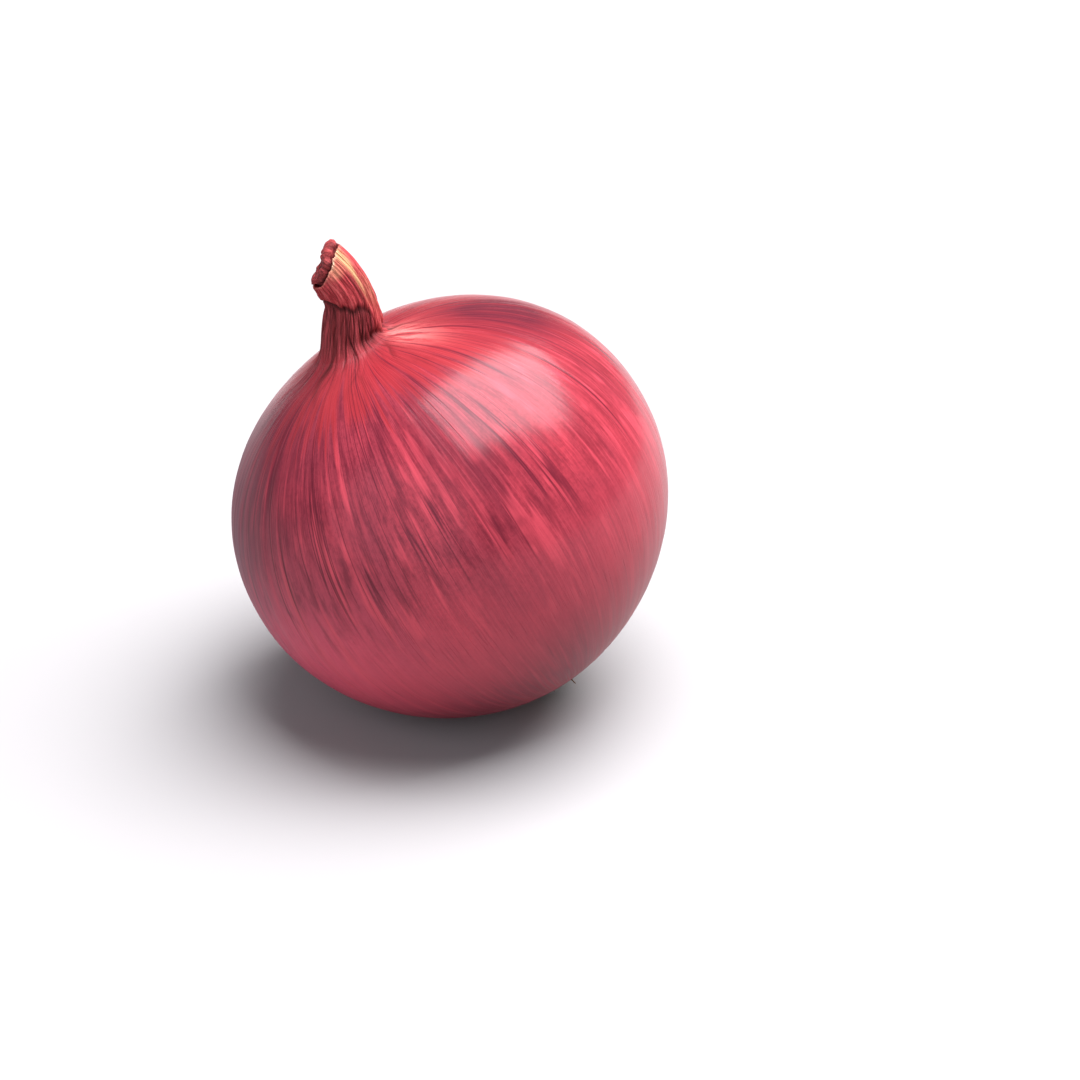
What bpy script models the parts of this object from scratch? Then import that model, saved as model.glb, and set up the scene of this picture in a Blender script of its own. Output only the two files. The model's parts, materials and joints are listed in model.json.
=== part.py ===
"""A red onion, dried and trimmed, leaning on its lower flank as it comes to rest.

The bulb is turned about its own axis and the dried neck is lofted through a few
stations. The two are joined, because bulb and neck grew as one body. A dimple at
the root end holds the tuft of dried root stubs. The onion leans towards -X, and
its skin is flattened a little where it rests.

Metres, +Z up. The origin is the middle of the resting spot.
"""

import math
from collections import namedtuple

import bmesh
import bpy
from mathutils import Matrix, Vector

MM = 0.001

# Bulb. A fullness of 2 makes a half an ellipse, and more makes it squarer.
BULB_RADIUS = 40.0 * MM
CROWN_HEIGHT = 35.8 * MM
CROWN_FULLNESS = 2.15
BASE_DEPTH = 38.4 * MM
BASE_FULLNESS = 1.92

# How the onion rests.
LEAN = math.radians(29.0)
REST_FLATTENING = 0.7 * MM

# Shoulders: the sweep from the crown up to a collar, which is inside the neck.
SHOULDER_RADIUS = 12.5 * MM
COLLAR_RADIUS = 3.8 * MM
COLLAR_HEIGHT = 4.0 * MM

# Neck: each station is a place on its middle line, as the distance from the bulb's
# axis and the height above the crown, with the neck's lean and radius there.
Station = namedtuple("Station", "offset height lean radius")
NECK_ROOT = Station(0.3 * MM, -4.0 * MM, math.radians(3.0), 6.0 * MM)
NECK_FOOT = Station(1.8 * MM, 2.0 * MM, math.radians(14.0), 5.8 * MM)
NECK_PINCH = Station(4.1 * MM, 6.6 * MM, math.radians(28.7), 4.9 * MM)
NECK_THROAT = Station(4.6 * MM, 10.3 * MM, math.radians(3.0), 4.7 * MM)
NECK_MOUTH = Station(4.1 * MM, 15.5 * MM, math.radians(-37.0), 4.6 * MM)
NECK_FLATNESS = 0.92

# Pleats of the dried sheath, and its torn mouth with the inner leaves in it.
PLEATS = 9
PLEAT_DEPTH = 0.25 * MM
MOUTH_RIM = 0.8 * MM
MOUTH_SUNK = 1.0 * MM
INNER_LEAF_RISE = 1.8 * MM

# Root end.
DIMPLE_FLOOR_RADIUS = 4.9 * MM
DIMPLE_LIP = 2.6 * MM
DIMPLE_DEPTH = 1.0 * MM
ROOT_GAP = 0.3 * MM
ROOT_TUFT_HEIGHT = 3.0 * MM

# Fineness of the solids.
BULB_SEGMENTS = 64
CROWN_STEPS = 14
BASE_STEPS = 15
SHOULDER_STEPS = 6
LIP_STEPS = 4
STEPS_PER_STATION = 4
NECK_SEGMENTS = 36
TUFT_STEPS = 6
TUFT_SEGMENTS = 36
MERGE_DISTANCE = 0.01 * MM

SKIN_COLOUR = (0.42, 0.035, 0.070, 1.0)
ROOT_COLOUR = (0.45, 0.30, 0.17, 1.0)


def clear_scene():
    for obj in list(bpy.data.objects):
        bpy.data.objects.remove(obj)


def collection(name):
    found = bpy.data.collections.new(name)
    bpy.context.scene.collection.children.link(found)
    return found


def material(name, colour, roughness):
    made = bpy.data.materials.new(name)
    made.use_nodes = True
    shader = made.node_tree.nodes["Principled BSDF"]
    shader.inputs["Base Color"].default_value = colour
    shader.inputs["Roughness"].default_value = roughness
    shader.inputs["Metallic"].default_value = 0.0
    return made


def half_height(radius, height, fullness):
    """Height of a superellipse half of the bulb at a radius from its axis."""
    share = min(radius / BULB_RADIUS, 1.0)
    return height * (1.0 - share ** fullness) ** (1.0 / fullness)


def crown_height(radius):
    return half_height(radius, CROWN_HEIGHT, CROWN_FULLNESS)


def base_height(radius):
    return -half_height(radius, BASE_DEPTH, BASE_FULLNESS)


def spread_radii(limit, fullness, steps):
    """Radii from the equator in to the limit, evenly spread along the superellipse."""
    last = math.acos((limit / BULB_RADIUS) ** (fullness / 2))
    angles = [last * i / steps for i in range(steps + 1)]
    return [BULB_RADIUS * math.cos(a) ** (2 / fullness) for a in angles]


def curve_through(start, corner, end, steps):
    """Points of the quadratic curve from start to end that both ends aim at corner."""
    points = []
    for i in range(steps + 1):
        t = i / steps
        points.append(start.lerp(corner, t).lerp(corner.lerp(end, t), t))
    return points


def shoulder_points():
    """The sweep from the collar down to the crown, which it meets along its slope."""
    foot = Vector((SHOULDER_RADIUS, crown_height(SHOULDER_RADIUS)))
    outside = Vector((SHOULDER_RADIUS + MM, crown_height(SHOULDER_RADIUS + MM)))
    reach = SHOULDER_RADIUS - COLLAR_RADIUS - MM
    corner = foot + (foot - outside) * reach / MM
    collar = Vector((COLLAR_RADIUS, CROWN_HEIGHT + COLLAR_HEIGHT))
    return curve_through(collar, corner, foot, SHOULDER_STEPS)


def dimple_floor_height():
    return base_height(DIMPLE_FLOOR_RADIUS) + DIMPLE_DEPTH


def lip_points():
    """The rounded lip of the root dimple, from the base in to the dimple's floor."""
    outer = Vector((DIMPLE_FLOOR_RADIUS + DIMPLE_LIP, base_height(DIMPLE_FLOOR_RADIUS + DIMPLE_LIP)))
    corner = Vector((DIMPLE_FLOOR_RADIUS + DIMPLE_LIP / 2, base_height(DIMPLE_FLOOR_RADIUS)))
    floor = Vector((DIMPLE_FLOOR_RADIUS, dimple_floor_height()))
    return curve_through(outer, corner, floor, LIP_STEPS)


def bulb_profile():
    """Half outline of the bulb as (radius, height), from its axis above to its axis below."""
    shoulder = shoulder_points()
    lip = lip_points()
    crown = spread_radii(shoulder[-1].x, CROWN_FULLNESS, CROWN_STEPS)
    base = spread_radii(lip[0].x, BASE_FULLNESS, BASE_STEPS)
    points = [Vector((0.0, shoulder[0].y))] + shoulder[:-1]
    points += [Vector((radius, crown_height(radius))) for radius in reversed(crown)]
    points += [Vector((radius, base_height(radius))) for radius in base[1:-1]]
    return points + lip + [Vector((0.0, lip[-1].y))]


def resting_place():
    """Where the bulb's centre goes, so that the lowest skin of its leaning base is at the origin."""
    power = BASE_FULLNESS / (BASE_FULLNESS - 1.0)
    across = (BULB_RADIUS * math.sin(LEAN)) ** power
    along = (BASE_DEPTH * math.cos(LEAN)) ** power
    below = (across + along) ** (1.0 / power)
    radius = BULB_RADIUS * (across / (across + along)) ** (1.0 / BASE_FULLNESS)
    depth = BASE_DEPTH * (along / (across + along)) ** (1.0 / BASE_FULLNESS)
    aside = radius * math.cos(LEAN) - depth * math.sin(LEAN)
    return Vector((aside, 0.0, below - REST_FLATTENING))


def leaning_matrix():
    return Matrix.Translation(resting_place()) @ Matrix.Rotation(-LEAN, 4, "Y")


def turned(name, profile, segments, home):
    """A solid of revolution about the local Z axis, from (radius, height) points."""
    mesh = bpy.data.meshes.new(name)
    points = [(p.x, 0.0, p.y) for p in profile]
    edges = [(i, i + 1) for i in range(len(points) - 1)]
    mesh.from_pydata(points, edges, [])
    obj = bpy.data.objects.new(name, mesh)
    home.objects.link(obj)
    screw = obj.modifiers.new("turn", "SCREW")
    screw.steps = segments
    screw.render_steps = segments
    screw.use_merge_vertices = True
    screw.merge_threshold = MERGE_DISTANCE
    screw.use_smooth_shade = True
    return obj


def between(before, start, end, after, t):
    """A value on the smooth curve that passes start and end, at a share t between them."""
    rise = (end - before) / 2
    fall = (after - start) / 2
    bend = 3 * (end - start) - 2 * rise - fall
    ease = 2 * (start - end) + rise + fall
    return start + t * (rise + t * (bend + t * ease))


def neck_stations():
    """Every section of the neck, evenly stepped between its named stations."""
    named = (NECK_ROOT, NECK_FOOT, NECK_PINCH, NECK_THROAT, NECK_MOUTH)
    sections = []
    for i in range(len(named) - 1):
        around = [named[max(i - 1, 0)], named[i], named[i + 1], named[min(i + 2, len(named) - 1)]]
        for k in range(STEPS_PER_STATION):
            t = k / STEPS_PER_STATION
            sections.append(Station(*(between(*values, t) for values in zip(*around))))
    return sections + [NECK_MOUTH]


def moved_along(station, distance, radius):
    """The same section moved along the neck, with another radius."""
    offset = station.offset + distance * math.sin(station.lean)
    height = station.height + distance * math.cos(station.lean)
    return Station(offset, height, station.lean, radius)


def section_ring(mesh, station, pleat):
    """One pleated oval ring across the neck."""
    centre = Vector((station.offset, 0.0, CROWN_HEIGHT + station.height))
    across = Vector((math.cos(station.lean), 0.0, -math.sin(station.lean)))
    ring = []
    for k in range(NECK_SEGMENTS):
        angle = 2 * math.pi * k / NECK_SEGMENTS
        reach = station.radius + pleat * math.cos(PLEATS * angle)
        side = Vector((0.0, NECK_FLATNESS * reach * math.sin(angle), 0.0))
        ring.append(mesh.verts.new(centre + across * reach * math.cos(angle) + side))
    return ring


def bridge(mesh, lower, upper):
    for k, vert in enumerate(lower):
        after = (k + 1) % len(lower)
        mesh.faces.new((vert, lower[after], upper[after], upper[k]))


def neck_solid(home):
    """The neck lofted through its stations, with a sunk mouth that inner leaves fill."""
    mesh = bmesh.new()
    rings = [section_ring(mesh, station, PLEAT_DEPTH) for station in neck_stations()]
    inner = NECK_MOUTH.radius - MOUTH_RIM
    rings.append(section_ring(mesh, moved_along(NECK_MOUTH, -MOUTH_SUNK, inner), PLEAT_DEPTH))
    for lift in (math.pi / 6, math.pi / 3):
        rise = INNER_LEAF_RISE * math.sin(lift) - MOUTH_SUNK
        dome = moved_along(NECK_MOUTH, rise, inner * math.cos(lift))
        rings.append(section_ring(mesh, dome, 0.0))
    for lower, upper in zip(rings, rings[1:]):
        bridge(mesh, lower, upper)
    mesh.faces.new(reversed(rings[0]))
    mesh.faces.new(rings[-1])
    data = bpy.data.meshes.new("neck")
    mesh.to_mesh(data)
    mesh.free()
    data.shade_smooth()
    obj = bpy.data.objects.new("neck", data)
    home.objects.link(obj)
    return obj


def floor_cutter(home):
    """A block whose top is the plane that the onion rests on."""
    side = 4 * BULB_RADIUS
    mesh = bmesh.new()
    bmesh.ops.create_cube(mesh, size=side)
    data = bpy.data.meshes.new("floor_plane")
    mesh.to_mesh(data)
    mesh.free()
    obj = bpy.data.objects.new("floor_plane", data)
    obj.location.z = -side / 2
    home.objects.link(obj)
    return obj


def as_helper(obj):
    obj.hide_render = True
    obj.display_type = "WIRE"


def boolean(obj, other, operation):
    modifier = obj.modifiers.new(operation.lower(), "BOOLEAN")
    modifier.operation = operation
    modifier.object = other
    modifier.solver = "EXACT"


def build_bulb(home, neck, floor, skin):
    """The bulb with its neck joined on, flattened where it rests."""
    bulb = turned("bulb", bulb_profile(), BULB_SEGMENTS, home)
    bulb.matrix_world = leaning_matrix()
    boolean(bulb, neck, "UNION")
    boolean(bulb, floor, "DIFFERENCE")
    bulb.data.materials.append(skin)


def tuft_profile():
    """Half outline of the root tuft: a flat seat in the dimple and a domed brush of roots."""
    seat = dimple_floor_height() - ROOT_GAP
    radius = DIMPLE_FLOOR_RADIUS - ROOT_GAP
    points = [Vector((0.0, seat)), Vector((radius, seat))]
    for i in range(1, TUFT_STEPS):
        angle = math.pi / 2 * i / TUFT_STEPS
        points.append(Vector((radius * math.cos(angle), seat - ROOT_TUFT_HEIGHT * math.sin(angle))))
    return points + [Vector((0.0, seat - ROOT_TUFT_HEIGHT))]


def build_roots(home, floor, fibre):
    """The root tuft, pressed flat where it would reach the floor."""
    tuft = turned("root_tuft", tuft_profile(), TUFT_SEGMENTS, home)
    tuft.matrix_world = leaning_matrix()
    boolean(tuft, floor, "DIFFERENCE")
    tuft.data.materials.append(fibre)


def main():
    clear_scene()
    onion = collection("onion")
    helpers = collection("onion_helpers")
    neck = neck_solid(helpers)
    neck.matrix_world = leaning_matrix()
    floor = floor_cutter(helpers)
    as_helper(neck)
    as_helper(floor)
    build_bulb(onion, neck, floor, material("dry_skin", SKIN_COLOUR, 0.35))
    build_roots(onion, floor, material("dry_roots", ROOT_COLOUR, 0.8))


main()
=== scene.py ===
"""Looks of a red onion that rests on its lower flank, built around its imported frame.

Every surface is a grid worked out with numpy: columns run round the onion and rows
run from the root end, over the bulb and up the neck. Metres, +Z up.
"""

import json
import math
from types import SimpleNamespace

import bpy
import numpy as np
from mathutils import Matrix, Vector

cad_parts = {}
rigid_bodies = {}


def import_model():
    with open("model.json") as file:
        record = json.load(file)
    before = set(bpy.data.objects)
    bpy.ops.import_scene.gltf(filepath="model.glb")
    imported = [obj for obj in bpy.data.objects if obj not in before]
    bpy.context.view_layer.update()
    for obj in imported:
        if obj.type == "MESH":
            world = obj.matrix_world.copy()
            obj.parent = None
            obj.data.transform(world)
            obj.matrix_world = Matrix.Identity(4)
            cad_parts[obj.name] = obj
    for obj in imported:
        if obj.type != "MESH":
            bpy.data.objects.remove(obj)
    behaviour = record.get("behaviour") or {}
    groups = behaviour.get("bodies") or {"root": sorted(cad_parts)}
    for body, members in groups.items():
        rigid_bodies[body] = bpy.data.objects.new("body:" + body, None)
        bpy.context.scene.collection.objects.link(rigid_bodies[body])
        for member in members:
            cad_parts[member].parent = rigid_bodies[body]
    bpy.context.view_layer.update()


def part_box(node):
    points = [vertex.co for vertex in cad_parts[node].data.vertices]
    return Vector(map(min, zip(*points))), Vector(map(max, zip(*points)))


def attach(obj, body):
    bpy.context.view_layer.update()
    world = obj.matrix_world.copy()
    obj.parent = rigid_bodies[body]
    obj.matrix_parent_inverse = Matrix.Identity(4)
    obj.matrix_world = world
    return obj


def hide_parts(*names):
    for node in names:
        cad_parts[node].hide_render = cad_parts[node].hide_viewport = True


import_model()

# The frame's bulb is 40 mm in radius, so MM is a millimetre on an onion of that size.
BULB_LOW, BULB_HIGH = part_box("bulb")
BULB_RADIUS = (BULB_HIGH.y - BULB_LOW.y) / 2
MM = BULB_RADIUS / 40.0

# Bulb, as in the frame. A fullness of 2 would make half an ellipse.
CROWN_HEIGHT = 35.8 * MM
CROWN_FULLNESS = 2.15
BASE_DEPTH = 38.4 * MM
BASE_FULLNESS = 1.92
LEAN = math.radians(29.0)
REST_FLATTENING = 0.7 * MM
DIMPLE_RADIUS = 7.2 * MM
DIMPLE_DEPTH = 1.0 * MM

# Rows and columns of the skin, and how far below 0 each bulb row is on the path.
COLUMNS = 480
DIMPLE_ROWS = 10
BASE_ROWS = 46
CROWN_ROWS = 44
NECK_ROWS = 66
LIP_ROWS = 5
POCKET_ROWS = 10
BULB_PATH_STEP = 0.16

# Neck outline in millimetres from the crown's pole, as pairs of (across, up): the
# long side, which faces +X, and the short side, which faces -X.
SHOULDER_RADIUS = 14.0
NECK_LONG_SIDE = (
    (10.6, -1.0), (8.2, -0.55), (7.0, 0.6), (7.6, 2.5), (8.3, 4.8), (8.8, 7.3),
    (9.1, 9.7), (9.0, 12.0), (8.65, 14.6), (7.6, 18.5),
)
NECK_SHORT_SIDE = (
    (-10.0, -0.7), (-6.5, 0.8), (-4.3, 2.9), (-2.7, 5.2), (-1.2, 7.2), (0.1, 9.0),
    (0.2, 10.3), (0.15, 11.6), (0.1, 12.5), (0.2, 13.3),
)
NECK_FLATNESS = 0.94
SHEATH_THICKNESS = 0.34 * MM

# Places on the neck's path, which counts its points from 0 at the shoulders.
MOUTH = float(len(NECK_LONG_SIDE))
RIM = MOUTH - 0.02
PINCH = 5.5
POCKET_FLOOR = 6.5
NECK_FOOT = 2.2

# Dried leaf ends inside the neck: a crumpled plug and one curled stub. The shares are of
# the mouth, and a step along the neck's last run goes STUB_ASIDE in X and STUB_UP in Z.
PLUG_SHARE = 0.79
PLUG_WALL_ROWS = 20
PLUG_TOP_ROWS = 44
STUB_SHARE = 0.50
STUB_COLUMNS = 220
STUB_WALL_ROWS = 22
STUB_LIP_ROWS = 7
STUB_INSIDE_ROWS = 14
STUB_DEPTH = 3.6 * MM
STUB_RISE = 0.30 * MM
STUB_WALL_SHARE = 0.08
STUB_ASIDE = -0.40
STUB_UP = 0.92
STUB_SEED = 70

# Root end. ROOT_TURN is the golden angle in radians, from each root to the next.
PLATE_RADIUS = 5.2 * MM
PLATE_SUNK = 1.15 * MM
PLATE_COLUMNS = 120
PLATE_BACK_ROWS = 12
PLATE_FACE_ROWS = 30
ROOT_COUNT = 110
ROOT_RINGS = 8
ROOT_SIDES = 6
ROOT_TURN = 2.399963
ROOT_CLEARANCE = 0.35 * MM

# Colours in linear light. First the bulb's, then the neck's, the leaf ends' and the roots'.
DEEP_PLUM = (0.080, 0.008, 0.017)
PLUM = (0.185, 0.024, 0.038)
CRIMSON = (0.322, 0.032, 0.047)
ROSE = (0.471, 0.056, 0.078)
CROWN_RED = (0.235, 0.019, 0.025)
# Painted sheen: a lighter mauve standing in for the fill light's sheen on the lower left.
MAUVE = (0.660, 0.085, 0.138)
# Partly painted light: a darker, redder tone on the lit right side, where the crown's red also
# reaches lower, standing in for warmer light there.
RUDDY = (0.235, 0.020, 0.026)
# Painted sheen: a violet tint standing in for the violet sheen on the left limb.
VIOLET = (0.200, 0.020, 0.078)
# Painted bounce light: a lighter rose for the lower half, which the floor lights from below.
BOUNCE_LIT_ROSE = (0.370, 0.044, 0.066)
NECK_RED = (0.300, 0.048, 0.054)
NECK_BROWN = (0.099, 0.014, 0.015)
# Painted shade: near black for the neck's creases and grooves.
NECK_GROOVE_SHADE = (0.027, 0.005, 0.005)
PINK = (0.578, 0.160, 0.144)
PEACH = (0.490, 0.215, 0.130)
STRAW = (0.560, 0.350, 0.170)
SHEATH_RED = (0.410, 0.056, 0.062)
SHEATH_DARK = (0.175, 0.014, 0.017)
TORN_BUFF = (0.650, 0.470, 0.320)
DIMPLE_BROWN = (0.230, 0.084, 0.042)
LEAF_RED = (0.340, 0.048, 0.050)
LEAF_TIP = (0.290, 0.045, 0.044)
LEAF_BROWN = (0.085, 0.011, 0.013)
LEAF_HOLLOW = (0.050, 0.008, 0.008)
# Painted shade for the leaf ends deep in the neck and in their hollows.
LEAF_DEPTH_SHADE = (0.025, 0.005, 0.005)
FIBRE_LIGHT = (0.360, 0.230, 0.130)
FIBRE_DARK = (0.130, 0.065, 0.034)
CORK_LIGHT = (0.280, 0.160, 0.085)
CORK_DARK = (0.090, 0.046, 0.026)

# Shine of the skin, and depths of the fine relief that the materials add.
SKIN_SHINE = 0.19
NECK_SHINE = 0.10
FINE_RELIEF = 0.00025
ROOT_RELIEF = 0.0003
COARSE_RELIEF = 0.0004

# Noise patterns of the skin: how far each is squeezed along the onion, where less means
# longer streaks, then its scale, detail, roughness and distortion.
SKIN_PATTERNS = {
    "wide": (0.45, 3.4, 3.0, 0.55, 0.3),
    "streak": (0.09, 19.0, 3.0, 0.60, 0.15),
    "thread": (0.06, 34.0, 3.0, 0.62, 0.1),
    "fibre": (0.04, 92.0, 3.0, 0.65, 0.0),
    "vein": (0.02, 17.0, 2.0, 0.5, 0.0),
    "near": (0.35, 6.0, 2.0, 0.5, 0.0),
    "broken": (0.6, 8.0, 2.0, 0.5, 0.0),
    "blotch": (0.25, 21.0, 4.0, 0.64, 0.25),
    "hair": (0.30, 15.0, 4.0, 0.68, 0.2),
    "grain": (0.9, 8.5, 4.0, 0.62, 0.2),
    "mottle": (1.0, 55.0, 3.0, 0.6, 0.0),
    "speck": (1.0, 46.0, 2.0, 0.6, 0.0),
}

# Floor: its paint near the onion, in two tones, and far away, where it is paler.
FLOOR_HALF_SIDE = 4.0
FLOOR_DROP = 0.00005
FLOOR_TONE = (0.315, 0.325, 0.315)
FLOOR_TONE_HIGH = (0.325, 0.335, 0.325)
FLOOR_TONE_FAR = (0.68, 0.70, 0.68)
FLOOR_NEAR = 0.10
FLOOR_FAR = 0.90

# Lights: where each stands as seen from the bulb, and which way its width runs.
KEY_TOWARDS = (0.268, 0.0665, 0.948)
KEY_ALONG = (0.74, 0.61, -0.40)
KEY_DISTANCE = 0.80
KEY_SIZE = (0.88, 0.70)
KEY_POWER = 28.5
KEY_TINT = (1.0, 0.94, 1.0)
FILL_TOWARDS = (-0.45, -0.84, 0.22)
FILL_ALONG = (0.0, 0.0, 1.0)
FILL_DISTANCE = 1.3
FILL_SIZE = (2.0, 2.0)
FILL_POWER = 18.0
FILL_TINT = (0.94, 0.86, 1.0)
ROOM_TINT = (0.97, 0.97, 1.0, 1.0)
ROOM_LIGHT = 0.24

# Camera.
CAMERA_TILT = math.radians(27.0)
CAMERA_LENS = 100.0
CAMERA_DISTANCE = 544.4 * MM
AIM_ASIDE = 16.08 * MM
AIM_BELOW = 6.29 * MM
SENSOR_WIDTH = 36.0


# ---------------------------------------------------------------- curves and waves

def ease(value, low, high):
    """Smooth step from 0 at low to 1 at high, 3t^2 - 2t^3 between; low may be the larger."""
    t = np.clip((value - low) / (high - low), 0.0, 1.0)
    return t * t * (3.0 - 2.0 * t)


def bump(value, centre, width):
    """Bell curve: e to the minus squared distance from the centre in widths."""
    return np.exp(-(((value - centre) / width) ** 2))


def around(angle, centre, width):
    """Bell curve in an angle, which wraps at a full turn: centre and width in degrees."""
    gap = (angle - np.radians(centre) + math.pi) % (2 * math.pi) - math.pi
    return np.exp(-((gap / np.radians(width)) ** 2))


def smooth_path(knots, t):
    """Catmull-Rom curve: a cubic between knots, whose slope at a knot joins its neighbours."""
    knots = np.asarray(knots, float)
    padded = np.vstack([2 * knots[0] - knots[1], knots, 2 * knots[-1] - knots[-2]])
    i = np.clip(np.floor(t).astype(int), 0, len(knots) - 2)
    f = (t - i)[..., None]
    before, start, end, after = padded[i], padded[i + 1], padded[i + 2], padded[i + 3]
    rise, fall = (end - before) / 2, (after - start) / 2
    bend = 3 * (end - start) - 2 * rise - fall
    return start + f * (rise + f * (bend + f * (2 * (start - end) + rise + fall)))


def waves(turn, along, counts, drift, seed):
    """Sum of cosines of whole counts round the turn, whose phases drift along it."""
    rng = np.random.default_rng(seed)
    total = np.zeros(np.broadcast(turn, along).shape)
    for count in counts:
        phase, slide, sway = rng.uniform(0, 2 * math.pi), rng.normal() * drift, rng.uniform(0, 6.0)
        wobble = drift * 0.5 * np.sin(along * 2.0 + sway)
        total += np.cos(count * turn + phase + slide * along + wobble)
    return total / math.sqrt(len(counts))


def folds(turn, along, counts, drift, seed):
    """Mean of |sine| of half counts round the turn: round ridges with sharp valleys, 0 to 1."""
    rng = np.random.default_rng(seed)
    total = np.zeros(np.broadcast(turn, along).shape)
    for count in counts:
        phase, sway = rng.uniform(0, 2 * math.pi), rng.uniform(0, 6.0)
        warp = drift * np.sin(along * rng.uniform(1.5, 3.0) + sway + 2.0 * np.cos(turn + phase))
        total += np.abs(np.sin(count * turn / 2 + phase + warp))
    return total / len(counts)


def creases(turn, along, count, width, sway, seed):
    """Thin lines that run along: e to the minus squared (sine of half a count of turns / width).

    The lines stand unevenly round the turn, sway along their run, and each comes and goes.
    """
    rng = np.random.default_rng(seed)
    p = rng.uniform(0, 2 * math.pi, 6)
    uneven = 0.8 * np.sin(3 * turn + p[0]) + 0.6 * np.sin(5 * turn + p[1])
    warp = sway * np.sin(1.9 * along + p[2] + 2.0 * np.cos(turn + p[3]))
    line = np.exp(-((np.sin(count * turn / 2 + uneven + warp) / width) ** 2))
    beat = np.cos(4 * turn + 1.6 * along + p[4]) * np.cos(7 * turn - along + p[5])
    return line * (0.62 + 0.38 * beat)


def ripple(points, pitch, seed):
    """Sum of sines of distance along fourteen random directions, one full wave each pitch."""
    rng = np.random.default_rng(seed)
    ways = rng.normal(size=(14, 3))
    ways *= rng.uniform(0.6, 1.5, (14, 1)) / np.linalg.norm(ways, axis=1, keepdims=True)
    phase = rng.uniform(0, 2 * math.pi, 14)
    return np.sin(points @ ways.T * (2 * math.pi / pitch) + phase).sum(-1) / math.sqrt(14)


# ---------------------------------------------------------------- meshes

def tube_mesh(name, rings):
    """A mesh of closed tubes from points[tube, ring, side]: walls, and a pole at each end.

    A pole is the middle of its end ring. The rings' points come first, then every tube's
    low pole, then every high one.
    """
    count, _, sides = rings.shape[:3]
    index = np.arange(rings[..., 0].size).reshape(rings.shape[:3])
    after = np.roll(index, -1, axis=2)
    walls = np.stack([index[:, :-1], after[:, :-1], after[:, 1:], index[:, 1:]], -1)
    low = (index.size + np.arange(count))[:, None] + np.zeros((1, sides), int)
    feet = np.stack([after[:, 0], index[:, 0], low], -1)
    tips = np.stack([index[:, -1], after[:, -1], low + count], -1)
    ends = np.concatenate([feet, tips])
    faces = walls.reshape(-1, 4).tolist() + ends.reshape(-1, 3).tolist()
    poles = [rings[:, 0].mean(1), rings[:, -1].mean(1)]
    mesh = bpy.data.meshes.new(name)
    mesh.from_pydata(np.vstack([rings.reshape(-1, 3), *poles]).tolist(), [], faces)
    mesh.shade_smooth()
    return mesh


def grid_mesh(name, points):
    """A mesh from points[row, column]: one closed tube, joined round the columns."""
    return tube_mesh(name, points[None])


def with_ends(values):
    """Flattened grid values with the two poles' values after them."""
    flat = values.reshape(-1, *values.shape[2:])
    return np.concatenate([flat, values[0].mean(0)[None], values[-1].mean(0)[None]])


def add_number(mesh, name, values):
    """Stores a number at every point of a grid mesh, from values[row, column]."""
    layer = mesh.attributes.new(name, "FLOAT", "POINT")
    layer.data.foreach_set("value", with_ends(values).astype(np.float32).ravel())


def add_flow(mesh, turn, along):
    """Stores the flow at every point: (cos, sin) of its turn, and how far along it is."""
    flow = with_ends(np.stack([np.cos(turn), np.sin(turn), along], -1))
    layer = mesh.attributes.new("flow", "FLOAT_VECTOR", "POINT")
    layer.data.foreach_set("vector", flow.astype(np.float32).ravel())


def piece(name, mesh, material):
    """An object at the origin with the mesh and one material."""
    obj = bpy.data.objects.new(name, mesh)
    bpy.context.scene.collection.objects.link(obj)
    mesh.materials.append(material)
    return obj


# ---------------------------------------------------------------- the onion's own frame

def half_height(radius, height, fullness):
    """Superellipse: height times (1 - (radius / bulb radius)^n)^(1/n)."""
    share = np.clip(np.asarray(radius, float) / BULB_RADIUS, 0.0, 1.0)
    return height * (1.0 - share ** fullness) ** (1.0 / fullness)


def resting_centre():
    """Where the bulb's centre is, when the lowest skin of its leaning base is at the origin."""
    power = BASE_FULLNESS / (BASE_FULLNESS - 1.0)
    across = (BULB_RADIUS * math.sin(LEAN)) ** power
    along = (BASE_DEPTH * math.cos(LEAN)) ** power
    radius = BULB_RADIUS * (across / (across + along)) ** (1.0 / BASE_FULLNESS)
    depth = BASE_DEPTH * (along / (across + along)) ** (1.0 / BASE_FULLNESS)
    below = (across + along) ** (1.0 / power) - REST_FLATTENING
    return Vector((radius * math.cos(LEAN) - depth * math.sin(LEAN), 0.0, below))


TO_WORLD = Matrix.Translation(resting_centre()) @ Matrix.Rotation(-LEAN, 4, "Y")


def placed(points):
    """Points from the bulb's own frame to the world, turned by the lean and then moved."""
    turn = np.array(TO_WORLD.to_3x3())
    return points @ turn.T + np.array(TO_WORLD.translation)


def section(long_side, short_side, turn, reach, flatness):
    """Points round an oval between two sides: its middle + radius x (cos, flatness x sin)."""
    middle = (long_side + short_side) / 2
    half = (long_side - short_side) / 2
    radius = np.linalg.norm(half, axis=-1)
    unit = half / radius[..., None]
    out = radius + reach
    x = middle[..., 0] + out * np.cos(turn) * unit[..., 0]
    z = middle[..., 1] + out * np.cos(turn) * unit[..., 1]
    return np.stack([x, flatness * out * np.sin(turn), z], axis=-1)


def neck_sides(t):
    """Both sides of the neck at path values t, in metres in the bulb's own frame."""
    crown = float(half_height(SHOULDER_RADIUS * MM, CROWN_HEIGHT, CROWN_FULLNESS))
    edge = (crown - CROWN_HEIGHT) / MM
    long_knots = np.array(((SHOULDER_RADIUS, edge),) + NECK_LONG_SIDE) * MM
    short_knots = np.array(((-SHOULDER_RADIUS, edge),) + NECK_SHORT_SIDE) * MM
    up = np.array([0.0, CROWN_HEIGHT])
    return smooth_path(long_knots, t) + up, smooth_path(short_knots, t) + up


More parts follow.
